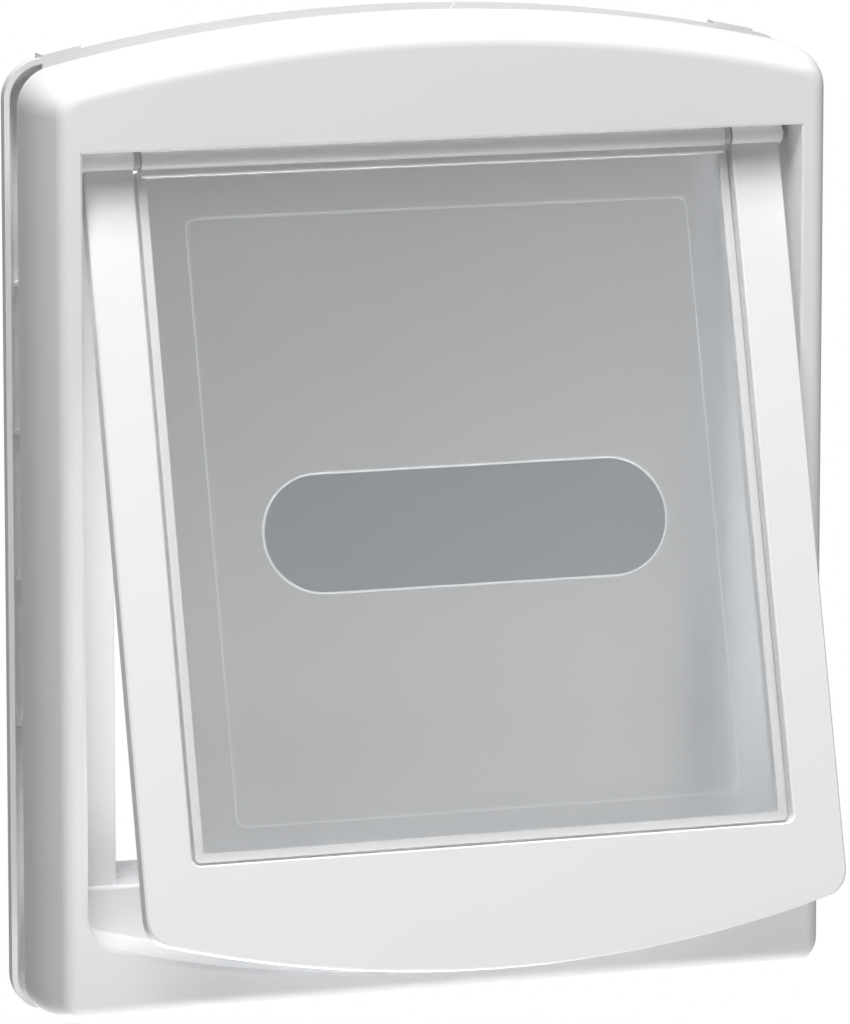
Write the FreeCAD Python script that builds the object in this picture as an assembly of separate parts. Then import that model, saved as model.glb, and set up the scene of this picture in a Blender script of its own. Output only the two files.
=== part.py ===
"""A cat flap for a door, built piece by piece, in millimetres.

The row frame: +X runs to the right as seen from outside the door, +Y points through the door
into the room, and +Z is up. The origin is the centre of the tunnel, in the plane where the outer
frame's rim meets the outside of the door. The flap stands swung out by rest_angle, and it is
built shut and then turned about its hinge.
"""
import FreeCAD, Part
import math
import os

from FreeCAD import Vector

# The outline that both frames share
frame_width = 294.0
frame_height = 352.0
arch_radius = 606.0
top_corner_radius = 14.5
bottom_corner_radius = 12.5

# The moulded shells of the frames
wall = 2.0
outer_frame_depth = 33.0
inner_frame_depth = 18.0
pillow_inset = 10.0
pillow_reach = 24.0
pillow_nose_radius = 5.5
door_gap = 16.0
inner_frame_rise = 0.8
inner_frame_drop = 2.0

# The tunnel through the door
tunnel_side_margin = 30.6
tunnel_head_margin = 30.6
sill_height = 47.6
tunnel_edge_round = 1.0
inner_sill_drop = 1.8

# The recess in the outer frame that the flap closes into
header_height = 42.2
recess_depth = 21.4
recess_foot_rise = 3.0
sill_step = 1.6
sill_round = 1.4
lip_bevel = 0.9
flap_side_clearance = 4.0
flap_bottom_clearance = 3.8

# The hinge line
hinge_setback = 16.0
hinge_drop = 4.8
rest_angle = 15.6

# The hinge rod, its barrels and its bushes
rod_radius = 1.5
bore_clearance = 0.05
seat_clearance = 0.02
rod_seat_depth = 5.0
seat_boss_radius = 4.0
seat_boss_end_wall = 2.0
barrel_radius = 4.2
barrel_overhang = 1.7
barrel_end_bevel = 1.1
bush_radius = 3.6
bush_end_gap = 0.3

# The flap's white surround
flap_side_margin = 17.9
flap_foot_height = 34.8
flap_belly = 18.3
flap_corner_radius = 10.0
stile_width = 18.0
rail_height = 24.8
cutout_corner_radius = 3.0
flap_front = 2.3
flap_back = 3.4
flap_edge_bevel = 0.6

# The hollow back of the flap's bottom rail
rail_wall = 2.0
rail_rib = 1.4
rail_pocket_depth = 3.4
rail_rib_count = 6

# The clear panel
panel_side_gap = 1.7
panel_bottom_gap = 1.0
panel_front = -0.3
panel_skin = 1.6
panel_rim_front = 0.3
panel_rim_width = 3.1
panel_barrel_gap = 2.9
panel_band_drop = 6.4
panel_band_front = 1.8
panel_band_back = 2.6
panel_band_round = 1.2
stop_gap = 0.3
stop_thickness = 1.0
stop_side_overlap = 2.9
stop_bottom_overlap = 7.0
stop_start = 4.4

# The raised line and the sunk plaque on the panel's face
line_inset = 16.1
line_top = 20.9
line_foot_margin = 11.9
line_width = 0.8
line_height = 0.25
line_corner_radius = 4.0
plaque_length = 148.6
plaque_height = 41.3
plaque_drop = 133.3
plaque_depth = 0.3
plaque_edge_width = 0.7
plaque_edge_height = 0.25

# The bar magnets and the steel strips they pull
magnet_fit = 0.05
rail_magnet_length = 60.0
rail_magnet_height = 8.0
rail_magnet_thickness = 2.5
rail_magnet_offset = 21.6
ledge_keeper_length = 60.0
ledge_keeper_height = 10.0
ledge_keeper_thickness = 1.5
panel_magnet_length = 40.0
panel_magnet_height = 4.0
panel_magnet_thickness = 2.2
panel_keeper_length = 40.0
panel_keeper_height = 4.5
panel_keeper_thickness = 0.8

# The four screws that clamp the frames on the door, with their caps
screw_side_margin = 21.0
screw_low = 62.0
screw_head_margin = 70.0
screw_radius = 2.0
screw_fit = 0.05
screw_engagement = 9.0
screw_head_radius = 3.6
screw_head_height = 2.4
screw_recess_width = 0.9
screw_recess_length = 7.4
screw_recess_depth = 1.3
boss_radius = 4.6
boss_end_wall = 1.2
post_radius = 5.5
counterbore_radius = 4.0
counterbore_depth = 8.0
cap_thickness = 2.0
cap_fit = 0.05
cap_stem_radius = 2.6
cap_stem_length = 2.6

# The slot in the inner frame that a closing panel slides down
slot_thickness = 5.0
slot_front_wall = 2.0
slot_groove_depth = 2.6
slot_block_length = 14.0
slot_block_rise = 0.9
slot_end_wall = 2.0
notch_width = 40.0
notch_depth = 9.0
notch_slant = 7.0

# Stiffening ribs in the frames' hollows
rib_thickness = 1.5
rib_rim_setback = 5.0
rib_slot_setback = 1.0
rib_bite = 0.6
side_rib_count = 4
bottom_rib_count = 2

# Places worked out from the sizes above
half_frame = frame_width / 2.0
tunnel_width = frame_width - 2.0 * tunnel_side_margin
tunnel_height = frame_height - sill_height - tunnel_head_margin
frame_bottom = -(sill_height + tunnel_height / 2.0)
frame_top = frame_bottom + frame_height
tunnel_bottom = -tunnel_height / 2.0
tunnel_top = tunnel_height / 2.0
inner_tunnel_bottom = tunnel_bottom - inner_sill_drop
half_tunnel = tunnel_width / 2.0
outer_face_y = -outer_frame_depth
inner_rim_y = door_gap
inner_face_y = door_gap + inner_frame_depth
ledge_y = outer_face_y + recess_depth
sill_y = ledge_y - sill_step
recess_top = frame_top - header_height
half_flap = half_frame - flap_side_margin
half_recess = half_flap + flap_side_clearance
hinge_y = outer_face_y + hinge_setback
hinge_z = recess_top - hinge_drop
flap_side_drop = hinge_z - frame_bottom - flap_foot_height
rail_drop = flap_side_drop - rail_height
rail_magnet_drop = rail_drop + rail_magnet_offset
line_bottom = rail_drop - line_foot_margin
half_cutout = half_flap - stile_width
half_panel = half_cutout - panel_side_gap
half_panel_barrel = half_cutout - panel_barrel_gap
panel_drop = rail_drop - panel_bottom_gap
stop_front = -(flap_back + stop_gap)
stop_back = stop_front - stop_thickness
screw_x = half_frame - screw_side_margin
slot_y = inner_rim_y + slot_front_wall
overlap = 1.0


def box(x0, y0, z0, x1, y1, z1):
    """A box between two corners."""
    return Part.makeBox(x1 - x0, y1 - y0, z1 - z0, Vector(x0, y0, z0))


def rod_along_x(radius, x0, x1, y, z):
    """A round bar along X."""
    return Part.makeCylinder(radius, x1 - x0, Vector(x0, y, z), Vector(1, 0, 0))


def rod_along_y(radius, y0, y1, x, z):
    """A round bar along Y."""
    return Part.makeCylinder(radius, y1 - y0, Vector(x, y0, z), Vector(0, 1, 0))


def line(a, b):
    """A straight edge between two points."""
    return Part.LineSegment(a, b).toShape()


def arc(a, middle, b):
    """A round edge through three points."""
    return Part.Arc(a, middle, b).toShape()


def slab(wire, y0, y1):
    """A wire drawn at Y = 0, made a solid between two depths."""
    face = Part.Face(wire)
    face.translate(Vector(0, y0, 0))
    return face.extrude(Vector(0, y1 - y0, 0))


def on_circle(cx, cz, radius, angle):
    """A point on a circle in the XZ plane."""
    return Vector(cx + radius * math.cos(angle), 0, cz + radius * math.sin(angle))


def frame_outline(inset, rise=0.0, drop=0.0):
    """The frames' outline at Y = 0: straight foot and sides, arched top, round corners.

    inset brings every edge inwards; rise and drop move the arch up and the foot down.
    """
    half = half_frame - inset
    foot = frame_bottom - drop + inset
    top = frame_top + rise - inset
    arch = arch_radius - inset
    low = bottom_corner_radius - inset
    high = top_corner_radius - inset
    arch_z = top - arch
    high_x = half - high
    high_z = arch_z + math.sqrt((arch - high) ** 2 - high_x ** 2)
    lean = math.atan2(high_z - arch_z, high_x)
    low_x = half - low
    low_z = foot + low
    tip = on_circle(high_x, high_z, high, lean)
    tip_left = Vector(-tip.x, 0, tip.z)
    shoulder = on_circle(high_x, high_z, high, lean / 2.0)
    heel = on_circle(low_x, low_z, low, -math.pi / 4.0)
    return [
        line(Vector(-low_x, 0, foot), Vector(low_x, 0, foot)),
        arc(Vector(low_x, 0, foot), heel, Vector(half, 0, low_z)),
        line(Vector(half, 0, low_z), Vector(half, 0, high_z)),
        arc(Vector(half, 0, high_z), shoulder, tip),
        arc(tip, Vector(0, 0, top), tip_left),
        arc(tip_left, Vector(-shoulder.x, 0, shoulder.z), Vector(-half, 0, high_z)),
        line(Vector(-half, 0, high_z), Vector(-half, 0, low_z)),
        arc(Vector(-half, 0, low_z), Vector(-heel.x, 0, heel.z), Vector(-low_x, 0, foot)),
    ]


def pillow_reach_for(depth):
    """How far behind the face the rounding starts."""
    return min(pillow_reach, depth - overlap)


def gentle_radius(reach):
    """Radius of the long arc that meets the straight rim and the nose arc without a kink."""
    behind_nose = reach - pillow_nose_radius
    bend = pillow_inset ** 2 + behind_nose ** 2 - pillow_nose_radius ** 2
    return bend / (2.0 * (pillow_inset - pillow_nose_radius))


def hollow_bends(depth):
    """The bends of the shell's hidden inner side, as (inset, distance behind the face)."""
    reach = pillow_reach_for(depth)
    gentle = gentle_radius(reach)
    lean = math.atan2(reach - pillow_nose_radius, gentle - pillow_inset)
    inner = gentle - wall
    meet = (gentle - inner * math.cos(lean), reach - inner * math.sin(lean))
    return [(pillow_inset, wall), meet, (wall, reach), (wall, depth)]


def pillow_profile(depth):
    """The shell wall's section as (inset, distance behind the face) points and arc middles.

    A straight rim, a long gentle arc and a small nose arc bring the side round to the face. The
    hidden inner side is straight from bend to bend.
    """
    reach = pillow_reach_for(depth)
    nose = pillow_nose_radius
    gentle = gentle_radius(reach)
    lean = math.atan2(reach - nose, gentle - pillow_inset)

    def gentle_point(angle):
        return (gentle - gentle * math.cos(angle), reach - gentle * math.sin(angle))

    past = (lean + math.pi / 2.0) / 2.0
    nose_middle = (pillow_inset - nose * math.cos(past), nose - nose * math.sin(past))
    steps = [
        ("line", (0.0, depth), (0.0, reach)),
        ("arc", (0.0, reach), gentle_point(lean / 2.0), gentle_point(lean)),
        ("arc", gentle_point(lean), nose_middle, (pillow_inset, 0.0)),
        ("line", (pillow_inset, 0.0), (pillow_inset, wall)),
    ]
    bends = hollow_bends(depth)
    steps += [("line", a, b) for a, b in zip(bends, bends[1:])]
    steps.append(("line", bends[-1], (0.0, depth)))
    return steps


def pillow_section(start, inward, face_y, sign, depth):
    """The section as a face, standing at one point of the outline."""
    def place(point):
        inset, behind = point
        return start + inward * inset + Vector(0, face_y + sign * behind, 0)

    edges = []
    for step in pillow_profile(depth):
        points = [place(p) for p in step[1:]]
        edges.append(line(*points) if step[0] == "line" else arc(*points))
    return Part.Face(Part.Wire(edges))


def pillow_shell(outline, face_y, sign, depth):
    """The rounded rim of a frame: the section carried round the whole outline."""
    pieces = []
    for edge in outline:
        start = edge.valueAt(edge.FirstParameter)
        end = edge.valueAt(edge.LastParameter)
        along = edge.tangentAt(edge.FirstParameter)
        inward = Vector(-along.z, 0, along.x)
        section = pillow_section(start, inward, face_y, sign, depth)
        if isinstance(edge.Curve, Part.Line):
            pieces.append(section.extrude(end - start))
        else:
            turn = math.degrees(edge.Length / edge.Curve.Radius)
            pieces.append(section.revolve(edge.Curve.Center, Vector(0, -1, 0), turn))
    return fuse_all(pieces)


def fuse_all(shapes):
    """One solid from several that touch or overlap."""
    whole = shapes[0].multiFuse(shapes[1:])
    whole = whole.removeSplitter()
    return whole.Solids[0] if len(whole.Solids) == 1 else whole


def one_solid(shape):
    """The only solid of a shape."""
    return shape.Solids[0] if len(shape.Solids) == 1 else shape


def round_edges(shape, radius, wanted):
    """Round the edges that a test picks out."""
    edges = [e for e in shape.Edges if wanted(e)]
    return one_solid(shape.makeFillet(radius, edges)) if edges else shape


def bevel_edges(shape, size, wanted):
    """Bevel the edges that a test picks out."""
    edges = [e for e in shape.Edges if wanted(e)]
    return one_solid(shape.makeChamfer(size, edges)) if edges else shape


def lies_at_y(edge, y):
    """True if a whole edge lies at one depth."""
    box_of_edge = edge.BoundBox
    return abs(box_of_edge.YMin - y) < 1e-4 and abs(box_of_edge.YMax - y) < 1e-4


def belly_radius():
    """Radius of the flap's curved foot, from its width and how far it bellies out."""
    return (half_flap ** 2 + flap_belly ** 2) / (2.0 * flap_belly)


def belly_outline(half, top, side_z, middle_z, corner):
    """A straight-sided panel with a square top and a foot that bellies down, corners rounded."""
    radius = ((side_z - middle_z) ** 2 + half ** 2) / (2.0 * (side_z - middle_z))
    arc_z = middle_z + radius
    corner_x = half - corner
    corner_z = arc_z - math.sqrt((radius - corner) ** 2 - corner_x ** 2)
    lean = math.atan2(corner_z - arc_z, corner_x)
    foot = on_circle(corner_x, corner_z, corner, lean)
    heel = on_circle(corner_x, corner_z, corner, lean / 2.0)
    return Part.Wire([
        line(Vector(-half, 0, top), Vector(-half, 0, corner_z)),
        arc(Vector(-half, 0, corner_z), Vector(-heel.x, 0, heel.z), Vector(-foot.x, 0, foot.z)),
        arc(Vector(-foot.x, 0, foot.z), Vector(0, 0, middle_z), foot),
        arc(foot, heel, Vector(half, 0, corner_z)),
        line(Vector(half, 0, corner_z), Vector(half, 0, top)),
        line(Vector(half, 0, top), Vector(-half, 0, top)),
    ])


def recess_outline(grow, lift=0.0):
    """The recess's outline: the flap's own shape, let out by its clearances, plus grow.

    lift raises its foot.
    """
    side = half_recess + grow
    middle = hinge_z - flap_side_drop - flap_belly - flap_bottom_clearance - grow + lift
    radius = belly_radius() + flap_bottom_clearance + grow
    side_z = middle + radius - math.sqrt(radius ** 2 - side ** 2)
    corner = flap_corner_radius + flap_side_clearance + grow
    return belly_outline(side, recess_top + grow, side_z, middle, corner)


def recess_room(grow, back_y):
    """The recess as a solid that runs from the face to back_y, its foot sloping up to the ledge."""
    slope = recess_foot_rise / recess_depth
    front = recess_outline(grow)
    front.translate(Vector(0, outer_face_y, 0))
    back = recess_outline(grow, slope * (back_y - outer_face_y))
    back.translate(Vector(0, back_y, 0))
    return Part.makeLoft([front, back], True, True)


def screw_places():
    """The four screws: name ending, X and Z."""
    low = frame_bottom + screw_low
    high = frame_top - screw_head_margin
    return [
        ("top_left", -screw_x, high),
        ("top_right", screw_x, high),
        ("bottom_left", -screw_x, low),
        ("bottom_right", screw_x, low),
    ]


def evenly(low, high, count):
    """Places that share a length evenly, none at its ends."""
    return [low + (high - low) * (i + 1.0) / (count + 1.0) for i in range(count)]


def rib_outline(inner, front, back, depth):
    """A rib's outline as (inset, distance behind the face), following the hollow's bends."""
    bends = [(i - rib_bite, max(front, b - rib_bite)) for i, b in hollow_bends(depth)]
    points = [(inner, front)]
    for bend in bends:
        if bend[1] > back:
            last = points[-1]
            share = (back - last[1]) / (bend[1] - last[1])
            points.append((last[0] + share * (bend[0] - last[0]), back))
            break
        points.append(bend)
    return points + [(inner, back)]


def side_ribs(inner_x, face_y, sign, front, back, depth, low, high):
    """Ribs across the hollow beside the tunnel, on both sides."""
    outline = rib_outline(half_frame - inner_x + rib_bite, front, back, depth)
    ribs = []
    for z in evenly(low, high, side_rib_count):
        for side in (-1.0, 1.0):
            points = [Vector(side * (half_frame - i), face_y + sign * b, z - rib_thickness / 2.0)
                      for i, b in outline]
            face = Part.Face(Part.makePolygon(points + [points[0]]))
            ribs.append(face.extrude(Vector(0, 0, rib_thickness)))
    return ribs


def bottom_ribs(top, foot, face_y, sign, front, back, depth):
    """Ribs across the hollow under the tunnel."""
    outline = rib_outline(top - foot + rib_bite, front, back, depth)
    ribs = []
    for x in evenly(-half_tunnel, half_tunnel, bottom_rib_count):
        points = [Vector(x - rib_thickness / 2.0, face_y + sign * b, foot + i) for i, b in outline]
        face = Part.Face(Part.makePolygon(points + [points[0]]))
        ribs.append(face.extrude(Vector(rib_thickness, 0, 0)))
    return ribs


def tunnel_tube(y0, y1, floor):
    """The four walls of a tunnel, as one tube."""
    outside = box(-half_tunnel - wall, y0, floor - wall, half_tunnel + wall, y1, tunnel_top + wall)
    inside = box(-half_tunnel, y0, floor, half_tunnel, y1, tunnel_top)
    return outside.cut(inside)


def outer_frame_recess():
    """The recess's walls and the ledge that the flap shuts against."""
    back_y = ledge_y + wall
    walls = recess_room(wall, back_y)
    step = box(-half_tunnel - wall, ledge_y, recess_top, half_tunnel + wall, back_y, tunnel_top + wall)
    body = fuse_all([walls, step])
    hollow = recess_room(0.0, ledge_y)
    hole = box(-half_tunnel, ledge_y, tunnel_bottom, half_tunnel, back_y, recess_top)
    return body.cut(hollow).cut(hole)


def outer_frame_bosses():
    """Bosses for the four screws, behind the ledge, and for the ends of the hinge rod."""
    bosses = []
    for _, x, z in screw_places():
        bosses.append(rod_along_y(boss_radius, ledge_y + wall / 2.0, 0.0, x, z))
    reach = half_recess + rod_seat_depth + seat_boss_end_wall
    start = half_recess + wall / 2.0
    bosses.append(rod_along_x(seat_boss_radius, start, reach, hinge_y, hinge_z))
    bosses.append(rod_along_x(seat_boss_radius, -reach, -start, hinge_y, hinge_z))
    return bosses


def outer_frame_holes():
    """Blind holes for the screws and the seats of the hinge rod."""
    holes = []
    for _, x, z in screw_places():
        holes.append(rod_along_y(screw_radius + screw_fit, -screw_engagement - overlap, 0.0, x, z))
    reach = half_recess + rod_seat_depth
    holes.append(rod_along_x(rod_radius + seat_clearance, -reach, reach, hinge_y, hinge_z))
    return holes


def make_outer_frame():
    """The moulded frame on the outside of the door, one piece."""
    shell = pillow_shell(frame_outline(0.0), outer_face_y, 1.0, outer_frame_depth)
    face = slab(Part.Wire(frame_outline(pillow_inset)), outer_face_y, outer_face_y + wall)
    face = face.cut(recess_room(0.0, ledge_y))
    tunnel = tunnel_tube(ledge_y + wall / 2.0, 0.0, tunnel_bottom)
    rib_back = outer_frame_depth - rib_rim_setback
    ribs = side_ribs(half_recess + wall, outer_face_y, 1.0, wall - rib_bite, rib_back, outer_frame_depth,
                     frame_bottom + sill_height, recess_top)
    ribs += bottom_ribs(tunnel_bottom - wall, frame_bottom, outer_face_y, 1.0, recess_depth + wall - rib_bite,
                        rib_back, outer_frame_depth)
    body = fuse_all([shell, face, outer_frame_recess(), tunnel] + outer_frame_bosses() + ribs)
    for hole in outer_frame_holes():
        body = body.cut(hole)
    body = body.cut(recess_room(0.0, ledge_y))
    body = fuse_all([one_solid(body), sill()])
    body = bevel_edges(body, lip_bevel, is_lip_edge)
    body = round_edges(body, tunnel_edge_round, is_tunnel_edge)
    return round_edges(body, sill_round, is_sill_edge)


def sill():
    """The step below the tunnel, proud of the ledge, that the flap's rail shuts against."""
    foot = hinge_z - flap_side_drop - flap_belly - frame_height
    step = box(-half_frame, sill_y, foot, half_frame, ledge_y + wall / 2.0, tunnel_bottom)
    return step.common(recess_room(wall / 2.0, ledge_y + wall / 2.0))


def is_sill_edge(edge):
    """The sill's upper front edge."""
    ends = edge.BoundBox
    return lies_at_y(edge, sill_y) and ends.ZLength < 1e-4 and abs(ends.ZMin - tunnel_bottom) < 1e-4


def is_lip_edge(edge):
    """The recess's edge in the outer frame's front face."""
    if not lies_at_y(edge, outer_face_y):
        return False
    middle = edge.valueAt((edge.FirstParameter + edge.LastParameter) / 2.0)
    lip = recess_outline(0.0)
    lip.translate(Vector(0, outer_face_y, 0))
    return Part.Vertex(middle).distToShape(lip)[0] < 1e-3


def is_tunnel_edge(edge):
    """The tunnel's front edges in the ledge, at both sides."""
    if not lies_at_y(edge, ledge_y):
        return False
    ends = edge.BoundBox
    return ends.XLength < 1e-4 and abs(abs(ends.XMin) - half_tunnel) < 1e-4


def slot_housing():
    """Walls of the closing panel's slot: above the tunnel, and the channels beside and below it."""
    back_y = slot_y + slot_thickness
    half_slot = half_tunnel + slot_groove_depth
    half_house = half_slot + slot_block_length
    arch = Part.Wire(frame_outline(wall / 2.0, inner_frame_rise, inner_frame_drop))
    roof = slab(arch, inner_rim_y, back_y + wall)
    above = box(-half_house, inner_rim_y, tunnel_top + wall / 2.0, half_house, back_y + wall, frame_top + wall * 2.0)
    front = above.common(slab(arch, inner_rim_y, slot_y))
    back = above.common(slab(arch, back_y, back_y + wall))
    ends = []
    for side in (-1.0, 1.0):
        x0 = min(side * half_house, side * (half_house - slot_end_wall))
        end = box(x0, inner_rim_y, tunnel_top + wall / 2.0, x0 + slot_end_wall, back_y + wall, frame_top)
        ends.append(end.common(roof))
    outside = box(-half_slot - wall, inner_rim_y, inner_tunnel_bottom - slot_groove_depth - wall,
                  half_slot + wall, back_y + wall, tunnel_top + wall)
    inside = box(-half_tunnel, inner_rim_y, inner_tunnel_bottom, half_tunnel, back_y + wall, tunnel_top)
    channel = outside.cut(inside)
    return [front, back, channel] + ends


def slot_blocks():
    """The small raised blocks at both ends of the slot's mouth."""
    back_y = slot_y + slot_thickness
    half_slot = half_tunnel + slot_groove_depth
    raised = slab(Part.Wire(frame_outline(0.0, inner_frame_rise + slot_block_rise, inner_frame_drop)),
                  inner_rim_y, back_y + wall)
    blocks = []
    for side in (-1.0, 1.0):
        x0 = min(side * half_slot, side * (half_slot + slot_block_length))
        low = tunnel_top + wall / 2.0
        column = box(x0, inner_rim_y, low, x0 + slot_block_length, back_y + wall, frame_top + frame_height)
        lowered = slab(Part.Wire(frame_outline(wall, inner_frame_rise, inner_frame_drop)),
                       inner_rim_y, back_y + wall)
        blocks.append(column.common(raised).cut(lowered))
    return blocks


def slot_void():
    """The room the closing panel takes, from the open top down into its grooves."""
    half_slot = half_tunnel + slot_groove_depth
    return box(-half_slot, slot_y, inner_tunnel_bottom - slot_groove_depth, half_slot,
               slot_y + slot_thickness, frame_top + frame_height)


def finger_notch():
    """The dip in the slot's front wall where fingers reach the closing panel."""
    top = frame_top + inner_frame_rise + wall
    low = frame_top + inner_frame_rise - notch_depth
    half_low = notch_width / 2.0 - notch_slant
    half_high = notch_width / 2.0 + notch_slant * wall / notch_depth
    corners = [Vector(-half_high, 0, top), Vector(-half_low, 0, low), Vector(half_low, 0, low),
               Vector(half_high, 0, top)]
    wire = Part.makePolygon(corners + [corners[0]])
    return slab(wire, inner_rim_y - overlap, slot_y)


def screw_posts():
    """Posts that carry the screws through the inner frame."""
    return [rod_along_y(post_radius, inner_rim_y, inner_face_y, x, z) for _, x, z in screw_places()]


def screw_ways():
    """The screws' holes through the posts, with counterbores from the room side."""
    ways = []
    for _, x, z in screw_places():
        ways.append(rod_along_y(screw_radius + screw_fit, inner_rim_y, inner_face_y, x, z))
        ways.append(rod_along_y(counterbore_radius, inner_face_y - counterbore_depth, inner_face_y, x, z))
    return ways


def make_inner_frame():
    """The moulded frame on the room side of the door, one piece, with the closing panel's slot."""
    outline = frame_outline(0.0, inner_frame_rise, inner_frame_drop)
    shell = pillow_shell(outline, inner_face_y, -1.0, inner_frame_depth)
    inset = Part.Wire(frame_outline(pillow_inset, inner_frame_rise, inner_frame_drop))
    face = slab(inset, inner_face_y - wall, inner_face_y)
    tunnel = tunnel_tube(inner_rim_y, inner_face_y, inner_tunnel_bottom)
    rib_back = inner_frame_depth - slot_front_wall - slot_thickness - wall - rib_slot_setback
    ribs = side_ribs(half_tunnel + wall, inner_face_y, -1.0, wall - rib_bite, rib_back, inner_frame_depth,
                     frame_bottom + sill_height, recess_top)
    ribs += bottom_ribs(inner_tunnel_bottom - wall, frame_bottom - inner_frame_drop, inner_face_y, -1.0,
                        wall - rib_bite, rib_back, inner_frame_depth)
    body = fuse_all([shell, face, tunnel] + slot_housing() + slot_blocks() + screw_posts() + ribs)
    body = body.cut(box(-half_tunnel, inner_rim_y, inner_tunnel_bottom, half_tunnel, inner_face_y,
                        tunnel_top))
    for cutter in [slot_void(), finger_notch()] + screw_ways():
        body = body.cut(cutter)
    body = one_solid(body)
    return round_edges(body, tunnel_edge_round, is_room_edge)


def is_room_edge(edge):
    """The tunnel's edge in the inner frame's face."""
    if not lies_at_y(edge, inner_face_y):
        return False
    ends = edge.BoundBox
    at_side = ends.XLength < 1e-4 and abs(abs(ends.XMin) - half_tunnel) < 1e-4
    level = min(abs(ends.ZMin - inner_tunnel_bottom), abs(ends.ZMin - tunnel_top))
    return at_side or (ends.ZLength < 1e-4 and level < 1e-4)


def swing(shape):
    """Turn a piece that was built shut to where the flap stands."""
    turned = shape.copy()
    turned.rotate(Vector(0, hinge_y, hinge_z), Vector(1, 0, 0), -rest_angle)
    return turned


def flap_slab(wire, front, back):
    """A wire made a solid between two heights in front of the hinge line."""
    return slab(wire, hinge_y - front, hinge_y - back)


def rail_pockets():
    """The hollows in the back of the bottom rail, with ribs left between them."""
    drop = rail_drop + rail_wall
    top = hinge_z - max(drop, rail_drop + stop_bottom_overlap + rail_wall)
    side = half_flap - rail_wall
    middle = hinge_z - flap_side_drop - flap_belly + rail_wall
    radius = belly_radius() - rail_wall
    side_z = middle + radius - math.sqrt(radius ** 2 - side ** 2)
    outline = belly_outline(side, top, side_z, middle, flap_corner_radius - rail_wall)
    room = flap_slab(outline, -flap_back, rail_pocket_depth - flap_back)
    for x in evenly(-side, side, rail_rib_count):
        room = room.cut(box(x - rail_rib / 2.0, ledge_y - outer_frame_depth, hinge_z - frame_height,
                            x + rail_rib / 2.0, ledge_y, hinge_z))
    pad = box(-rail_magnet_length / 2.0 - rail_wall, hinge_y - flap_front,
              magnet_z(rail_magnet_drop, rail_magnet_height, -1.0) - rail_wall,
              rail_magnet_length / 2.0 + rail_wall, hinge_y + flap_back,
              magnet_z(rail_magnet_drop, rail_magnet_height, 1.0) + rail_wall)
    return room.cut(pad)


def magnet_z(drop, height, side):
    """Height of a magnet's lower (-1) or upper (1) edge, with the flap shut."""
    return hinge_z - drop + side * height / 2.0


def bar(length, height, drop, front, back, grow=0.0):
    """A bar that lies along the flap: at a drop below the hinge line, between two heights."""
    return box(-length / 2.0 - grow, hinge_y - front - grow, magnet_z(drop, height, -1.0) - grow,
               length / 2.0 + grow, hinge_y - back, magnet_z(drop, height, 1.0) + grow)


def panel_magnet_drop():
    """The panel's magnet lies just under the cut-out, behind the panel's stop."""
    return rail_drop + stop_bottom_overlap / 2.0


def rail_magnet(grow=0.0):
    """The magnet that holds the surround shut."""
    return bar(rail_magnet_length, rail_magnet_height, rail_magnet_drop,
               rail_magnet_thickness - flap_back, -flap_back, grow)


def panel_magnet(grow=0.0):
    """The magnet that holds the clear panel in line with the surround."""
    return bar(panel_magnet_length, panel_magnet_height, panel_magnet_drop(),
               panel_magnet_thickness - flap_back, -flap_back, grow)


def make_flap_surround():
    """The white frame of the flap: two stiles, a deep bottom rail and two hinge barrels."""
    middle = hinge_z - flap_side_drop - flap_belly
    outline = belly_outline(half_flap, hinge_z, hinge_z - flap_side_drop, middle, flap_corner_radius)
    plate = flap_slab(outline, flap_front, -flap_back)
    cutout = box(-half_cutout, hinge_y - flap_front, hinge_z - rail_drop, half_cutout,
                 hinge_y + flap_back, hinge_z)
    cutout = round_edges(cutout, cutout_corner_radius, is_cutout_corner)
    body = one_solid(plate.cut(cutout))
    body = bevel_edges(body, flap_edge_bevel, is_flap_front_edge)
    body = body.cut(rail_pockets())
    barrel_end = half_flap + barrel_overhang
    barrels = []
    for x0, x1 in ((half_cutout, barrel_end), (-barrel_end, -half_cutout)):
        barrel = rod_along_x(barrel_radius, x0, x1, hinge_y, hinge_z)
        outer_x = x1 if x1 > 0 else x0
        barrels.append(bevel_edges(barrel, barrel_end_bevel, lambda e, x=outer_x: lies_at_x(e, x)))
    body = fuse_all([body] + barrels)
    body = body.cut(rod_along_x(rod_radius + bore_clearance, -half_frame, half_frame, hinge_y, hinge_z))
    body = body.cut(rail_magnet(magnet_fit)).cut(panel_magnet(magnet_fit))
    return swing(one_solid(body))


def lies_at_x(edge, x):
    """True if a whole edge lies at one X."""
    ends = edge.BoundBox
    return abs(ends.XMin - x) < 1e-4 and abs(ends.XMax - x) < 1e-4


def is_cutout_corner(edge):
    """The two lower corners of the surround's cut-out."""
    ends = edge.BoundBox
    return ends.XLength < 1e-4 and ends.ZLength < 1e-4 and abs(ends.ZMin - (hinge_z - rail_drop)) < 1e-4


def is_flap_front_edge(edge):
    """Every edge of the surround's front face below the hinge line."""
    return lies_at_y(edge, hinge_y - flap_front) and edge.BoundBox.ZMin < hinge_z - 1e-3


def panel_rim():
    """The panel's thick edge at both sides and along the foot."""
    outside = box(-half_panel, hinge_y - panel_rim_front, hinge_z - panel_drop, half_panel,
                  hinge_y - stop_back, hinge_z - stop_start)
    outside = round_edges(outside, cutout_corner_radius - panel_bottom_gap, is_panel_corner)
    inner = half_panel - panel_rim_width
    inside = box(-inner, hinge_y - panel_rim_front, hinge_z - panel_drop + panel_rim_width, inner,
                 hinge_y - stop_back, hinge_z - stop_start)
    return outside.cut(inside)


def is_panel_corner(edge):
    """The two lower corners of the clear panel."""
    ends = edge.BoundBox
    return ends.XLength < 1e-4 and ends.ZLength < 1e-4 and abs(ends.ZMin - (hinge_z - panel_drop)) < 1e-4


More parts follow.
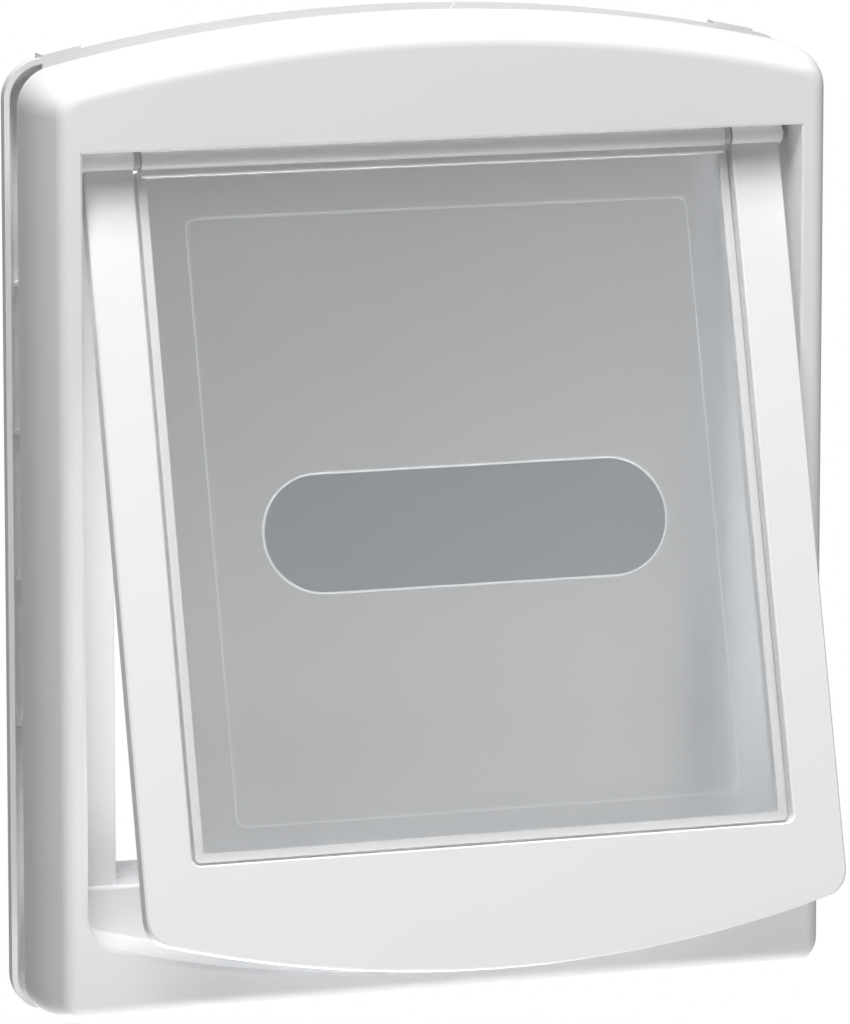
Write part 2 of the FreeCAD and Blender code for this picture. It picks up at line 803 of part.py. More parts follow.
def panel_stop():
    """The thin flange behind the surround that keeps the panel from swinging out past it."""
    side = half_cutout + stop_side_overlap
    foot = hinge_z - rail_drop - stop_bottom_overlap
    outside = box(-side, hinge_y - stop_front, foot, side, hinge_y - stop_back, hinge_z - stop_start)
    inner = half_panel - panel_rim_width
    inside = box(-inner, hinge_y - stop_front, hinge_z - panel_drop + panel_rim_width, inner,
                 hinge_y - stop_back, hinge_z - stop_start)
    return outside.cut(inside)


def panel_line():
    """The thin raised line round the panel's face."""
    side = half_panel - line_inset
    front = panel_front + line_height

    def ring(inset):
        bar_shape = box(-side + inset, hinge_y - front, hinge_z - line_bottom + inset, side - inset,
                        hinge_y - panel_front + line_height, hinge_z - line_top - inset)
        return round_edges(bar_shape, line_corner_radius - inset, is_upright_corner)

    return ring(0.0).cut(ring(line_width))


def is_upright_corner(edge):
    """An edge that runs through the panel's thickness."""
    ends = edge.BoundBox
    return ends.XLength < 1e-4 and ends.ZLength < 1e-4


def pill(grow, front, back):
    """A pill-shaped block as large as the plaque plus grow, between two heights."""
    half = plaque_length / 2.0 + grow
    tall = plaque_height / 2.0 + grow
    middle = hinge_z - plaque_drop
    body = box(-half, hinge_y - front, middle - tall, half, hinge_y - back, middle + tall)
    return round_edges(body, tall - 0.01, is_upright_corner)


def plaque():
    """The pill-shaped plaque, as the room it takes in the panel's face."""
    return pill(0.0, panel_front + plaque_edge_height + overlap, panel_front - plaque_depth)


def plaque_edge():
    """The thin raised edge round the plaque."""
    return pill(plaque_edge_width, panel_front + plaque_edge_height, panel_front - line_height)


def panel_band():
    """The thick band along the panel's top, next to its barrel."""
    side = half_panel_barrel
    band = box(-side, hinge_y - panel_band_front, hinge_z - panel_band_drop, side,
               hinge_y + panel_band_back, hinge_z)

    def is_low_front(edge):
        ends = edge.BoundBox
        return lies_at_y(edge, hinge_y - panel_band_front) and ends.ZMax < hinge_z - overlap

    return round_edges(band, panel_band_round, is_low_front)


def make_flap_panel():
    """The clear panel with its hinge barrel, thick edge and stop."""
    back = panel_front - panel_skin
    sheet = box(-half_panel, hinge_y - panel_front, hinge_z - panel_drop, half_panel, hinge_y - back,
                hinge_z - barrel_radius - overlap)
    sheet = round_edges(sheet, cutout_corner_radius - panel_bottom_gap, is_panel_corner)
    barrel = rod_along_x(barrel_radius, -half_panel_barrel, half_panel_barrel, hinge_y, hinge_z)
    body = fuse_all([sheet, panel_rim(), panel_stop(), panel_band(), barrel, panel_line(), plaque_edge()])
    body = body.cut(plaque())
    body = body.cut(rod_along_x(rod_radius + bore_clearance, -half_frame, half_frame, hinge_y, hinge_z))
    return swing(one_solid(body))


def make_panel_keeper():
    """The steel strip on the panel's stop, behind the rail."""
    return swing(bar(panel_keeper_length, panel_keeper_height, panel_magnet_drop(), stop_back,
                     stop_back - panel_keeper_thickness))


def make_ledge_keeper():
    """The steel strip behind the ledge that the surround's magnet pulls."""
    z = hinge_z - rail_magnet_drop
    y0 = ledge_y + wall
    return box(-ledge_keeper_length / 2.0, y0, z - ledge_keeper_height / 2.0, ledge_keeper_length / 2.0,
               y0 + ledge_keeper_thickness, z + ledge_keeper_height / 2.0)


def make_hinge_rod():
    """The steel rod that both parts of the flap turn on, held in the frame's seats."""
    reach = half_recess + rod_seat_depth
    return rod_along_x(rod_radius, -reach, reach, hinge_y, hinge_z)


def make_bush(side):
    """The spacer on the rod between the surround's barrel and the panel's."""
    x0 = half_panel_barrel + bush_end_gap
    x1 = half_cutout - bush_end_gap
    ring = rod_along_x(bush_radius, x0, x1, hinge_y, hinge_z)
    ring = ring.cut(rod_along_x(rod_radius + seat_clearance, x0, x1, hinge_y, hinge_z))
    if side < 0:
        ring = ring.mirror(Vector(0, 0, 0), Vector(1, 0, 0))
    return one_solid(ring)


def make_screw(x, z):
    """A pan-head screw from the inner frame's post into the outer frame's boss."""
    seat = inner_face_y - counterbore_depth
    shank = rod_along_y(screw_radius, -screw_engagement, seat + screw_fit, x, z)
    head = rod_along_y(screw_head_radius, seat, seat + screw_head_height, x, z)
    body = fuse_all([shank, head])
    top = seat + screw_head_height
    half_long = screw_recess_length / 2.0
    half_thin = screw_recess_width / 2.0
    slot = box(x - half_long, top - screw_recess_depth, z - half_thin, x + half_long, top, z + half_thin)
    return one_solid(body.cut(slot))


def make_cap(x, z):
    """A press-in cap that hides a screw, flush with the inner frame's face."""
    disc = rod_along_y(counterbore_radius - cap_fit, inner_face_y - cap_thickness, inner_face_y, x, z)
    stem = rod_along_y(cap_stem_radius, inner_face_y - cap_thickness - cap_stem_length,
                       inner_face_y - cap_thickness + cap_fit, x, z)
    return one_solid(fuse_all([disc, stem]))


def build():
    """Every piece by its node name."""
    pieces = {
        "outer_frame": make_outer_frame(),
        "inner_frame": make_inner_frame(),
        "flap_surround": make_flap_surround(),
        "flap_panel": make_flap_panel(),
        "hinge_rod": make_hinge_rod(),
        "hinge_bush_left": make_bush(-1),
        "hinge_bush_right": make_bush(1),
        "rail_magnet": swing(rail_magnet()),
        "panel_magnet": swing(panel_magnet()),
        "panel_keeper": make_panel_keeper(),
        "ledge_keeper": make_ledge_keeper(),
    }
    for ending, x, z in screw_places():
        pieces["frame_screw_" + ending] = make_screw(x, z)
        pieces["screw_cap_" + ending] = make_cap(x, z)
    return pieces


def main():
    """Build and write every piece, and print what each one measures."""
    os.makedirs("parts", exist_ok=True)
    total = 0
    for name, shape in build().items():
        shape.exportStep(os.path.join("parts", name + ".step"))
        facets = len(shape.tessellate(0.2)[1])
        total += facets
        print(name, "solids", len(shape.Solids), "valid", shape.isValid(),
              "volume", round(shape.Volume, 1), "facets", facets)
    print("facets in all", total)


main()
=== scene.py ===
"""Looks for the cat flap: finishes on the CAD nodes, screw threads, lamps and the camera.

Everything is in metres in the row frame: +X to the right seen from outside the door, +Y into the
room, +Z up, with the origin at the centre of the tunnel on the outside of the door.
"""
import logging
import math
from dataclasses import dataclass
from enum import Enum
from typing import Iterable, Union

import bpy
from mathutils import Matrix, Vector


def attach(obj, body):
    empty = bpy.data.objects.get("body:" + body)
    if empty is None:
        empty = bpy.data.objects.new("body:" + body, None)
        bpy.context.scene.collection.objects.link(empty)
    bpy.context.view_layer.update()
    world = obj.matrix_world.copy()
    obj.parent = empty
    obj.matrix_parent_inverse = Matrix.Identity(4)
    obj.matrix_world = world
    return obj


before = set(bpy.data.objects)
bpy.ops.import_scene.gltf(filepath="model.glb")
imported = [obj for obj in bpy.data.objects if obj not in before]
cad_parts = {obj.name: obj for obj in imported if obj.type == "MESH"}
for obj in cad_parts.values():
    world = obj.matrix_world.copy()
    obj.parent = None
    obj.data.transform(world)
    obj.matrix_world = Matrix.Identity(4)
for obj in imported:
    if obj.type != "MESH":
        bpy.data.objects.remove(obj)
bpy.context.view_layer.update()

LOG = logging.getLogger("cat_flap")
MM = 0.001

HINGE = Vector((0.0, -17.0 * MM, 120.5 * MM))
REST_ANGLE = math.radians(15.6)

DRIFT_SCALE = 14.0
DRIFT_DETAIL = 2.0
DRIFT_BAND = (0.3, 0.7)
GLOSS_SPREAD = 0.07
GRAIN_DETAIL = 3.0
GRAIN_STRENGTH = 0.4
PLASTIC_IOR = 1.49

MIX_NUMBERS = (2, 3)
MIX_COLOURS = (6, 7)
MIXED_COLOUR = 2

Socket = Union[bpy.types.NodeSocket, float]
Colour = tuple[float, float, float]
Place = tuple[float, float, float]


class Grain(Enum):
    """How a surface's fine relief is laid."""

    EVEN = (1.0, 1.0, 1.0)
    ALONG_X = (0.05, 1.0, 1.0)
    ALONG_Y = (1.0, 0.05, 1.0)


class Nodes:
    """Adds nodes to a tree by what they work out."""

    def __init__(self, tree: bpy.types.NodeTree) -> None:
        self.tree = tree

    def add(self, kind: str) -> bpy.types.Node:
        """Adds a node.

        Args:
            kind: the node's type.

        Returns:
            The node.
        """
        return self.tree.nodes.new(kind)

    def feed(self, socket: bpy.types.NodeSocket, value: Socket) -> None:
        """Links a value to a socket, or sets it.

        Args:
            socket: the socket.
            value: an output socket or a number.
        """
        if isinstance(value, bpy.types.NodeSocket):
            self.tree.links.new(value, socket)
        else:
            socket.default_value = value

    def math(self, operation: str, a: Socket, b: Socket = 0.0) -> bpy.types.NodeSocket:
        """Works out one sum.

        Args:
            operation: the sum's name.
            a: the first value.
            b: the second value.

        Returns:
            The result.
        """
        node = self.add("ShaderNodeMath")
        node.operation = operation
        self.feed(node.inputs[0], a)
        self.feed(node.inputs[1], b)
        return node.outputs[0]

    def step(self, value: Socket, low: float, high: float, start: float = 0.0,
             end: float = 1.0) -> bpy.types.NodeSocket:
        """Turns a value smoothly from one level to another.

        Args:
            value: what decides.
            low: where the turn starts.
            high: where it ends.
            start: the level at low.
            end: the level at high.

        Returns:
            The level.
        """
        node = self.add("ShaderNodeMapRange")
        node.interpolation_type = "SMOOTHSTEP"
        self.feed(node.inputs["Value"], value)
        self.feed(node.inputs["From Min"], low)
        self.feed(node.inputs["From Max"], high)
        self.feed(node.inputs["To Min"], start)
        self.feed(node.inputs["To Max"], end)
        return node.outputs["Result"]

    def blend(self, share: Socket, a: Socket, b: Socket) -> bpy.types.NodeSocket:
        """Mixes two numbers.

        Args:
            share: how much of the second.
            a: the first number.
            b: the second number.

        Returns:
            The mixed number.
        """
        node = self.add("ShaderNodeMix")
        self.feed(node.inputs[0], share)
        for index, value in zip(MIX_NUMBERS, (a, b)):
            self.feed(node.inputs[index], value)
        return node.outputs[0]

    def tint(self, share: Socket, a: Union[bpy.types.NodeSocket, Colour],
             b: Union[bpy.types.NodeSocket, Colour]) -> bpy.types.NodeSocket:
        """Mixes two colours.

        Args:
            share: how much of the second.
            a: the first colour, or a socket.
            b: the second colour, or a socket.

        Returns:
            The mixed colour.
        """
        node = self.add("ShaderNodeMix")
        node.data_type = "RGBA"
        self.feed(node.inputs[0], share)
        for index, value in zip(MIX_COLOURS, (a, b)):
            plain_colour = not isinstance(value, bpy.types.NodeSocket)
            self.feed(node.inputs[index], (*value, 1.0) if plain_colour else value)
        return node.outputs[MIXED_COLOUR]


@dataclass(frozen=True)
class Finish:
    """One material, described by what the eye sees.

    Attributes:
        name: the material's name.
        colour: linear red, green and blue.
        roughness: how dull the surface is, 0 to 1.
        metallic: 1 for bare metal.
        tint_spread: how far the colour drifts over the piece.
        grain: how the fine relief is laid.
        grain_size: the width of one grain, in metres.
        grain_depth: the height of the relief, in metres.
    """

    name: str
    colour: Colour
    roughness: float
    metallic: float = 0.0
    tint_spread: float = 0.02
    grain: Grain = Grain.EVEN
    grain_size: float = 0.0012
    grain_depth: float = 0.00001

    def build(self) -> bpy.types.Material:
        """Makes the material.

        Returns:
            The node material, on Object coordinates.
        """
        material = bpy.data.materials.new(self.name)
        material.use_nodes = True
        tree = material.node_tree
        shader = tree.nodes["Principled BSDF"]
        nodes = Nodes(tree)
        lay = nodes.add("ShaderNodeMapping")
        lay.inputs["Scale"].default_value = self.grain.value
        nodes.feed(lay.inputs["Vector"], nodes.add("ShaderNodeTexCoord").outputs["Object"])
        self._surface(nodes, shader, lay.outputs["Vector"])
        self._relief(nodes, shader, lay.outputs["Vector"])
        return material

    def _surface(self, nodes: Nodes, shader: bpy.types.Node, place: bpy.types.NodeSocket) -> None:
        """Sets the colour and the gloss, which drift a little over the piece.

        Args:
            nodes: adds the nodes.
            shader: the Principled shader.
            place: the laid coordinates.
        """
        drift = nodes.add("ShaderNodeTexNoise")
        drift.inputs["Scale"].default_value = DRIFT_SCALE
        drift.inputs["Detail"].default_value = DRIFT_DETAIL
        nodes.feed(drift.inputs["Vector"], place)
        low = tuple(c * (1.0 - self.tint_spread) for c in self.colour)
        high = tuple(min(1.0, c * (1.0 + self.tint_spread)) for c in self.colour)
        nodes.feed(shader.inputs["Base Color"], nodes.tint(drift.outputs["Fac"], low, high))
        gloss = nodes.step(drift.outputs["Fac"], *DRIFT_BAND, self.roughness * (1.0 - GLOSS_SPREAD),
                           min(1.0, self.roughness * (1.0 + GLOSS_SPREAD)))
        nodes.feed(shader.inputs["Roughness"], gloss)
        shader.inputs["Metallic"].default_value = self.metallic
        shader.inputs["IOR"].default_value = PLASTIC_IOR

    def _relief(self, nodes: Nodes, shader: bpy.types.Node, place: bpy.types.NodeSocket) -> None:
        """Adds the fine moulded or drawn grain.

        Args:
            nodes: adds the nodes.
            shader: the Principled shader.
            place: the laid coordinates.
        """
        grain = nodes.add("ShaderNodeTexNoise")
        grain.inputs["Scale"].default_value = 1.0 / self.grain_size
        grain.inputs["Detail"].default_value = GRAIN_DETAIL
        nodes.feed(grain.inputs["Vector"], place)
        bump = nodes.add("ShaderNodeBump")
        bump.inputs["Distance"].default_value = self.grain_depth
        bump.inputs["Strength"].default_value = GRAIN_STRENGTH
        nodes.feed(bump.inputs["Height"], grain.outputs["Fac"])
        nodes.feed(shader.inputs["Normal"], bump.outputs["Normal"])


@dataclass(frozen=True)
class RoundedBox:
    """A rounded rectangle on the shut flap, about x = 0, measured from the hinge.

    Attributes:
        half_x: half its width.
        low: its lower edge.
        high: its upper edge.
        corner: its corner radius.
    """

    half_x: float
    low: float
    high: float
    corner: float

    def distance(self, nodes: Nodes, x: Socket, z: Socket) -> bpy.types.NodeSocket:
        """Distance to the rectangle's edge, negative inside.

        Args:
            nodes: adds the nodes.
            x: place across.
            z: place along.

        Returns:
            The distance in metres.
        """
        across = nodes.math("SUBTRACT", nodes.math("ABSOLUTE", x), self.half_x - self.corner)
        middle, half_z = (self.low + self.high) / 2.0, (self.high - self.low) / 2.0
        off_middle = nodes.math("ABSOLUTE", nodes.math("SUBTRACT", z, middle))
        along = nodes.math("SUBTRACT", off_middle, half_z - self.corner)
        out_x = nodes.math("MAXIMUM", across, 0.0)
        out_z = nodes.math("MAXIMUM", along, 0.0)
        squares = nodes.math("ADD", nodes.math("MULTIPLY", out_x, out_x),
                             nodes.math("MULTIPLY", out_z, out_z))
        inside = nodes.math("MINIMUM", nodes.math("MAXIMUM", across, along), 0.0)
        reach = nodes.math("ADD", nodes.math("SQRT", squares), inside)
        return nodes.math("SUBTRACT", reach, self.corner)


@dataclass(frozen=True)
class SmokePanel(Finish):
    """The frosted see-through panel, with painted light on its thick edges and band, painted
    highlights on its raised edges, and a greyer plaque.

    Attributes:
        painted_gathered_light: painted light on its thick edges, band and barrel, for the light
            they gather.
        plaque: colour of the plaque.
        edge: painted highlight colour on the raised line and on the plaque's raised edge.
        clear: share of light that passes the sheet.
        clear_thick: share of light that passes the thick parts.
        clear_raised: share of light that passes the raised edges.
        sheet_box: the thin sheet.
        pill_box: the plaque.
        line_box: the middle of the raised line.
        sheet_edge: where the painted light on the thick parts starts, about the sheet's edge.
        pill_edge: where the plaque's colour ends, about its edge.
        rim_offset: how far outside the plaque its raised edge runs.
        rim_half: half the width of that edge, and where it ends.
        line_half: half the width of the raised line, and where it ends.
        line_share: how strongly the painted highlight on the raised line shows.
    """

    # Painted light colour for the thick edges, band and barrel.
    painted_gathered_light: Colour = (0.95, 0.95, 0.95)
    plaque: Colour = (0.58, 0.625, 0.655)
    # Painted highlight colour for the raised line and the plaque's raised edge.
    edge: Colour = (0.92, 0.93, 0.94)
    clear: float = 0.97
    clear_thick: float = 0.3
    clear_raised: float = 0.6
    sheet_box: RoundedBox = RoundedBox(106.3 * MM, -241.3 * MM, -6.5 * MM, 1.0 * MM)
    pill_box: RoundedBox = RoundedBox(74.3 * MM, -153.95 * MM, -112.65 * MM, 20.6 * MM)
    line_box: RoundedBox = RoundedBox(92.9 * MM, -233.1 * MM, -21.3 * MM, 3.6 * MM)
    sheet_edge: tuple[float, float] = (-0.1 * MM, 0.1 * MM)
    pill_edge: tuple[float, float] = (-0.15 * MM, 0.05 * MM)
    rim_offset: float = 0.35 * MM
    rim_half: tuple[float, float] = (0.25 * MM, 0.5 * MM)
    line_half: tuple[float, float] = (0.3 * MM, 0.5 * MM)
    line_share: float = 0.25

    def _surface(self, nodes: Nodes, shader: bpy.types.Node, place: bpy.types.NodeSocket) -> None:
        """Colours the panel by where a point lies on the shut flap, with painted light on the thick
        parts and painted highlights on the raised edges.

        Args:
            nodes: adds the nodes.
            shader: the Principled shader.
            place: the piece's own coordinates.
        """
        Finish._surface(self, nodes, shader, place)
        flap = nodes.add("ShaderNodeMapping")
        turn = Matrix.Rotation(REST_ANGLE, 3, "X")
        flap.inputs["Rotation"].default_value = (REST_ANGLE, 0.0, 0.0)
        flap.inputs["Location"].default_value = -(turn @ HINGE)
        nodes.feed(flap.inputs["Vector"], place)
        split = nodes.add("ShaderNodeSeparateXYZ")
        nodes.feed(split.inputs[0], flap.outputs["Vector"])
        x, z = split.outputs["X"], split.outputs["Z"]
        thick = nodes.step(self.sheet_box.distance(nodes, x, z), *self.sheet_edge)
        pill = self.pill_box.distance(nodes, x, z)
        in_pill = nodes.step(pill, *self.pill_edge, 1.0, 0.0)
        off_rim = nodes.math("ABSOLUTE", nodes.math("SUBTRACT", pill, self.rim_offset))
        on_rim = nodes.step(off_rim, *self.rim_half, 1.0, 0.0)
        off_line = nodes.math("ABSOLUTE", self.line_box.distance(nodes, x, z))
        on_line = nodes.step(off_line, *self.line_half, 1.0, 0.0)
        raised = nodes.math("MAXIMUM", on_rim, nodes.math("MULTIPLY", on_line, self.line_share))
        base = shader.inputs["Base Color"].links[0].from_socket
        colour = nodes.tint(in_pill, base, self.plaque)
        # Painted highlight: the raised line and the plaque's raised edge are painted pale.
        colour = nodes.tint(raised, colour, self.edge)
        # Painted light: the thick edges, band and barrel are painted pale for the light they
        # gather.
        nodes.feed(shader.inputs["Base Color"], nodes.tint(thick, colour, self.painted_gathered_light))
        through = nodes.blend(thick, self.clear, self.clear_thick)
        through = nodes.blend(raised, through, self.clear_raised)
        nodes.feed(shader.inputs["Transmission Weight"], through)


WHITE_FRAME = Finish("white_frame_plastic", (0.86, 0.86, 0.868), 0.5, tint_spread=0.004)
# The flap's white is painted lighter than the frame's white: painted light for the extra light the
# upward-tilted flap catches.
WHITE_FLAP_PAINTED_LIGHTER = Finish("white_flap_plastic_painted_lighter", (0.95, 0.95, 0.953), 0.48, tint_spread=0.004)
SMOKE_PANEL = SmokePanel("smoke_panel_plastic", (0.875, 0.893, 0.907), 0.32, tint_spread=0.01,
                         grain_depth=0.000004)
ROD_STEEL = Finish("drawn_rod_steel", (0.62, 0.62, 0.62), 0.25, metallic=1.0, grain=Grain.ALONG_X)
BUSH_PLASTIC = Finish("natural_grey_plastic", (0.55, 0.56, 0.56), 0.5)
MAGNET_BLACK = Finish("black_magnet", (0.03, 0.03, 0.03), 0.6, tint_spread=0.2)
KEEPER_STEEL = Finish("plated_strip_steel", (0.55, 0.55, 0.54), 0.35, metallic=1.0,
                      grain=Grain.ALONG_X)
SCREW_STEEL = Finish("zinc_plated_steel", (0.66, 0.66, 0.64), 0.3, metallic=1.0,
                     grain=Grain.ALONG_Y)
CAP_PLASTIC = Finish("white_cap_plastic", (0.88, 0.88, 0.885), 0.5, tint_spread=0.01)

NODE_FINISHES = {
    "outer_frame": WHITE_FRAME,
    "inner_frame": WHITE_FRAME,
    "flap_surround": WHITE_FLAP_PAINTED_LIGHTER,
    "flap_panel": SMOKE_PANEL,
    "hinge_rod": ROD_STEEL,
    "hinge_bush": BUSH_PLASTIC,
    "rail_magnet": MAGNET_BLACK,
    "panel_magnet": MAGNET_BLACK,
    "panel_keeper": KEEPER_STEEL,
    "ledge_keeper": KEEPER_STEEL,
    "frame_screw": SCREW_STEEL,
    "screw_cap": CAP_PLASTIC,
}


def finish_of(node: str) -> Finish:
    """Finds a node's finish by its name or the start of it.

    Args:
        node: the node's name.

    Returns:
        The finish it takes.
    """
    for start, finish in NODE_FINISHES.items():
        if node.startswith(start):
            return finish
    raise KeyError(node)


class Paint:
    """Puts the finishes on the CAD nodes and keeps one material per finish."""

    def __init__(self) -> None:
        self._made: dict[str, bpy.types.Material] = {}

    def material(self, finish: Finish) -> bpy.types.Material:
        """Returns a finish's material, made once.

        Args:
            finish: the finish.

        Returns:
            Its material.
        """
        if finish.name not in self._made:
            self._made[finish.name] = finish.build()
        return self._made[finish.name]

    def cad_nodes(self, nodes: dict[str, bpy.types.Object]) -> None:
        """Paints every CAD node.

        Args:
            nodes: the frame's nodes by name.
        """
        for name, piece in nodes.items():
            piece.data.materials.clear()
            piece.data.materials.append(self.material(finish_of(name)))
            LOG.info("painted %s", name)


@dataclass(frozen=True)
class ScrewThreads:
    """The raised threads on the four frame screws, across the gap for the door.

    Attributes:
        radius: the shank's radius.
        ridge: size of a thread's ridge.
        pitch: distance from turn to turn.
        front: Y where the threads start.
        back: Y where they end.
        across: X of the right screws.
        heights: Z of the low and the high screws.
        turn_points: points in one turn.
        ridge_corners: corners of a ridge's outline.
    """

    radius: float = 2.0 * MM
    ridge: float = 0.28 * MM
    pitch: float = 1.4 * MM
    front: float = -8.4 * MM
    back: float = 15.2 * MM
    across: float = 126.0 * MM
    heights: tuple[float, float] = (-122.5 * MM, 97.5 * MM)
    turn_points: int = 24
    ridge_corners: int = 4

    def build(self, material: bpy.types.Material) -> bpy.types.Object:
        """Makes the threads of all four screws, as one baked mesh.

        Args:
            material: the screws' material.

        Returns:
            The piece, riding on the frames.
        """
        spots = bpy.data.meshes.new("screw_spots")
        places = [(side * self.across, self.front, height) for side in (-1.0, 1.0)
                  for height in self.heights]
        spots.from_pydata(places, [], [])
        holder = bpy.data.objects.new("screw_spots", spots)
        bpy.context.scene.collection.objects.link(holder)
        modifier = holder.modifiers.new("threads", "NODES")
        modifier.node_group = self._tree(material)
        values = {"Turns": (self.back - self.front) / self.pitch, "Radius": self.radius,
                  "Length": self.back - self.front, "Ridge": self.ridge}
        for item in modifier.node_group.interface.items_tree:
            if item.name in values:
                modifier[item.identifier] = values[item.name]
        bpy.context.view_layer.update()
        depsgraph = bpy.context.evaluated_depsgraph_get()
        baked = bpy.data.meshes.new_from_object(holder.evaluated_get(depsgraph))
        holder.modifiers.clear()
        bpy.data.objects.remove(holder)
        threads = bpy.data.objects.new("screw_threads", baked)
        bpy.context.scene.collection.objects.link(threads)
        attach(threads, "frames")
        return threads

    def _tree(self, material: bpy.types.Material) -> bpy.types.GeometryNodeTree:
        """Makes the node tree: one thread, set on every screw.

        Args:
            material: the screws' material.

        Returns:
            The tree.
        """
        tree = bpy.data.node_groups.new("threads", "GeometryNodeTree")
        tree.interface.new_socket("Geometry", in_out="INPUT", socket_type="NodeSocketGeometry")
        for name in ("Turns", "Radius", "Length", "Ridge"):
            tree.interface.new_socket(name, in_out="INPUT", socket_type="NodeSocketFloat")
        tree.interface.new_socket("Geometry", in_out="OUTPUT", socket_type="NodeSocketGeometry")
        nodes = Nodes(tree)
        given = nodes.add("NodeGroupInput").outputs
        spiral = nodes.add("GeometryNodeCurveSpiral")
        spiral.inputs["Resolution"].default_value = self.turn_points
        for socket, name in (("Rotations", "Turns"), ("Start Radius", "Radius"),
                             ("End Radius", "Radius"), ("Height", "Length")):
            nodes.feed(spiral.inputs[socket], given[name])
        ridge = nodes.add("GeometryNodeCurvePrimitiveCircle")
        ridge.inputs["Resolution"].default_value = self.ridge_corners
        nodes.feed(ridge.inputs["Radius"], given["Ridge"])
        sweep = nodes.add("GeometryNodeCurveToMesh")
        sweep.inputs["Fill Caps"].default_value = True
        nodes.feed(sweep.inputs["Curve"], spiral.outputs["Curve"])
        nodes.feed(sweep.inputs["Profile Curve"], ridge.outputs["Curve"])
        points = nodes.add("GeometryNodeMeshToPoints")
        nodes.feed(points.inputs["Mesh"], given["Geometry"])
        place = nodes.add("GeometryNodeInstanceOnPoints")
        place.inputs["Rotation"].default_value = (-math.pi / 2.0, 0.0, 0.0)
        nodes.feed(place.inputs["Points"], points.outputs["Points"])
        nodes.feed(place.inputs["Instance"], sweep.outputs["Mesh"])
        real = nodes.add("GeometryNodeRealizeInstances")
        nodes.feed(real.inputs["Geometry"], place.outputs["Instances"])
        paint = nodes.add("GeometryNodeSetMaterial")
        paint.inputs["Material"].default_value = material
        nodes.feed(paint.inputs["Geometry"], real.outputs["Geometry"])
        nodes.feed(nodes.add("NodeGroupOutput").inputs["Geometry"], paint.outputs["Geometry"])
        return tree


@dataclass(frozen=True)
class Lamp:
    """A plain area lamp aimed at the object.

    Attributes:
        name: the lamp's name.
        place: where it stands, in metres.
        size: width and height, in metres.
        power: watts.
    """

    name: str
    place: Place
    size: tuple[float, float]
    power: float

    def build(self) -> bpy.types.Object:
        """Makes the lamp.

        Returns:
            The lamp's object.
        """
        data = bpy.data.lights.new(self.name, "AREA")
        data.shape = "RECTANGLE"
        data.size, data.size_y = self.size
        data.energy = self.power
        lamp = bpy.data.objects.new(self.name, data)
        lamp.location = self.place
        aim = -Vector(self.place)
        lamp.rotation_euler = aim.to_track_quat("-Z", "Y").to_euler()
        bpy.context.scene.collection.objects.link(lamp)
        return lamp


@dataclass(frozen=True)
class Turn:
    """A level that turns smoothly from one value to another with the direction.

    Attributes:
        low: where the turn starts, as a part of the direction from -1 to 1.
        high: where it ends.
        start: the level before the turn.
        end: the level after it.
    """

    low: float
    high: float
    start: float
    end: float

    def level(self, nodes: Nodes, part: Socket) -> bpy.types.NodeSocket:
        """Works out the level in a direction.

        Args:
            nodes: adds the nodes.
            part: the direction's X, Y or Z.

        Returns:
            The level.
        """
        return nodes.step(part, self.low, self.high, self.start, self.end)


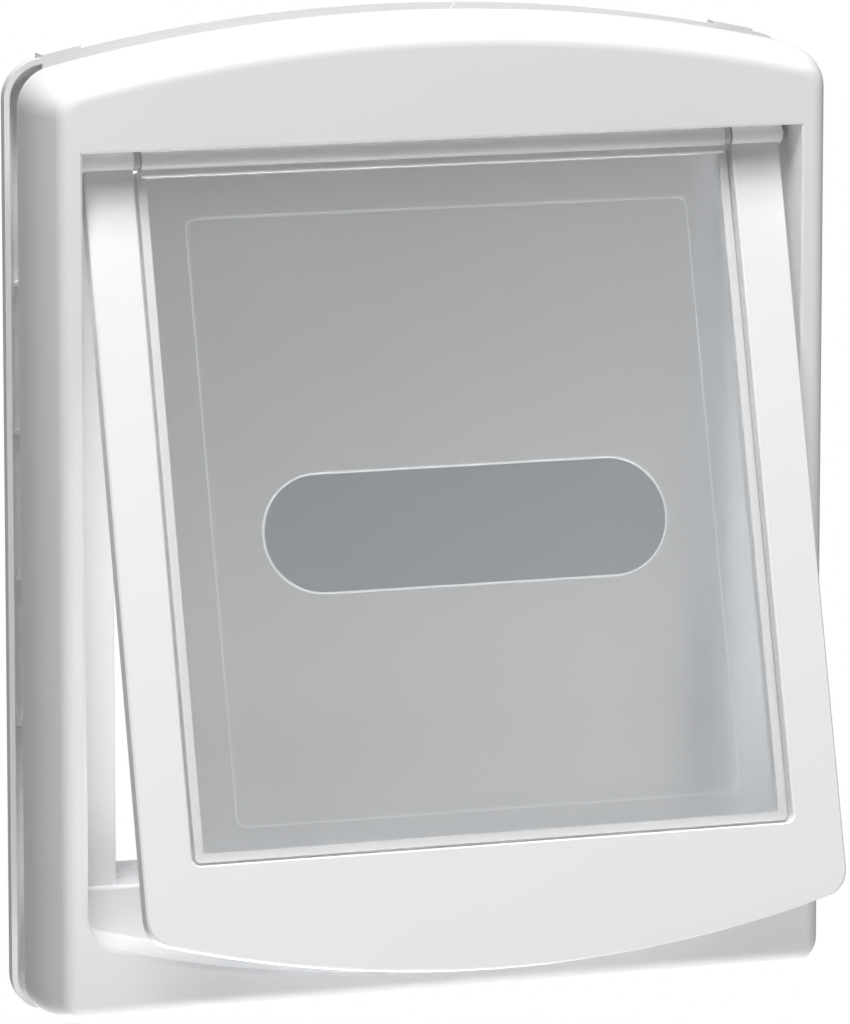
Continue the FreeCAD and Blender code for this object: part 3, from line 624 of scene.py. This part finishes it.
@dataclass(frozen=True)
class Surroundings:
    """How bright the surroundings are in each direction.

    Attributes:
        even: brightness from everywhere.
        back: added from the room side.
        right: added from the right.
        room_up: what shows through the panel of the room behind it, from low to high.
        room_across: share of that which is left, from left to right.
        porch_up: what comes in through the panel from outside, from low to high.
        doorway: where the outside ends and the room starts.
        camera: what the camera sees round the object.
    """

    even: float
    back: float
    right: float
    room_up: Turn = Turn(-0.30, -0.04, 0.95, 0.16)
    room_across: Turn = Turn(0.1, 0.4, 0.0, 1.0)
    porch_up: Turn = Turn(-0.2, 0.6, 0.68, 2.75)
    doorway: Turn = Turn(-0.1, 0.1, 0.0, 1.0)
    camera: float = 1.0

    def build(self) -> bpy.types.World:
        """Makes the world: these levels for light, and white for the camera.

        Returns:
            The world.
        """
        world = bpy.data.worlds.new("studio")
        world.use_nodes = True
        tree = world.node_tree
        tree.nodes.clear()
        nodes = Nodes(tree)
        split = nodes.add("ShaderNodeSeparateXYZ")
        nodes.feed(split.inputs[0], nodes.add("ShaderNodeTexCoord").outputs["Generated"])
        x, y, z = split.outputs
        level: Socket = self.even
        for part, amount in ((y, self.back), (x, self.right)):
            facing = nodes.math("MAXIMUM", part, 0.0)
            lobe = nodes.math("MULTIPLY", nodes.math("POWER", facing, 2.0), amount)
            level = nodes.math("ADD", level, lobe)
        room = nodes.math("MULTIPLY", self.room_up.level(nodes, z),
                          self.room_across.level(nodes, x))
        seen = nodes.blend(self.doorway.level(nodes, y), self.porch_up.level(nodes, z), room)
        path = nodes.add("ShaderNodeLightPath")
        level = nodes.blend(path.outputs["Is Transmission Ray"], level, seen)
        level = nodes.blend(path.outputs["Is Camera Ray"], level, self.camera)
        light = nodes.add("ShaderNodeBackground")
        light.inputs["Color"].default_value = (1.0, 1.0, 1.0, 1.0)
        nodes.feed(light.inputs["Strength"], level)
        nodes.feed(nodes.add("ShaderNodeOutputWorld").inputs["Surface"], light.outputs[0])
        return world


@dataclass(frozen=True)
class Studio:
    """Lamps, surroundings and camera.

    Attributes:
        lamps: the lamps.
        surroundings: the brightness around the object.
        camera_place: where the camera stands, in metres.
        camera_aim: the direction it looks in.
        lens: focal length in millimetres on a 36 mm sensor.
    """

    lamps: tuple[Lamp, ...]
    surroundings: Surroundings
    camera_place: Place
    camera_aim: Place
    lens: float

    def build(self) -> None:
        """Sets the lamps, the surroundings and the camera."""
        for lamp in self.lamps:
            lamp.build()
        bpy.context.scene.world = self.surroundings.build()
        self._camera()

    def _camera(self) -> None:
        """Stands the camera where the photograph was taken."""
        data = bpy.data.cameras.new("camera")
        data.sensor_width = 36.0
        data.sensor_fit = "AUTO"
        data.lens = self.lens
        data.clip_end = 20.0
        camera = bpy.data.objects.new("camera", data)
        camera.location = self.camera_place
        camera.rotation_euler = Vector(self.camera_aim).to_track_quat("-Z", "Y").to_euler()
        bpy.context.scene.collection.objects.link(camera)
        bpy.context.scene.camera = camera


STUDIO = Studio(
    lamps=(
        Lamp("key_left", (-0.9, -1.3, 2.1), (0.9, 0.9), 44.0),
        Lamp("high", (0.1, -0.75, 2.3), (1.0, 0.7), 39.0),
        Lamp("under", (0.0, -0.55, -1.7), (1.4, 0.8), 30.0),
        Lamp("room_side", (0.2, 1.15, -1.35), (0.9, 0.9), 30.0),
    ),
    surroundings=Surroundings(even=0.07, back=0.3, right=0.18),
    camera_place=(-0.8603, -2.4870, 0.4424),
    camera_aim=(0.32304, 0.93096, -0.17017),
    lens=263.67,
)


def main() -> None:
    """Builds the looks around the CAD nodes."""
    logging.basicConfig(level=logging.INFO)
    paint = Paint()
    paint.cad_nodes(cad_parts)
    ScrewThreads().build(paint.material(SCREW_STEEL))
    STUDIO.build()
    bpy.context.scene.view_settings.view_transform = "Standard"


if __name__ == "__main__":
    main()
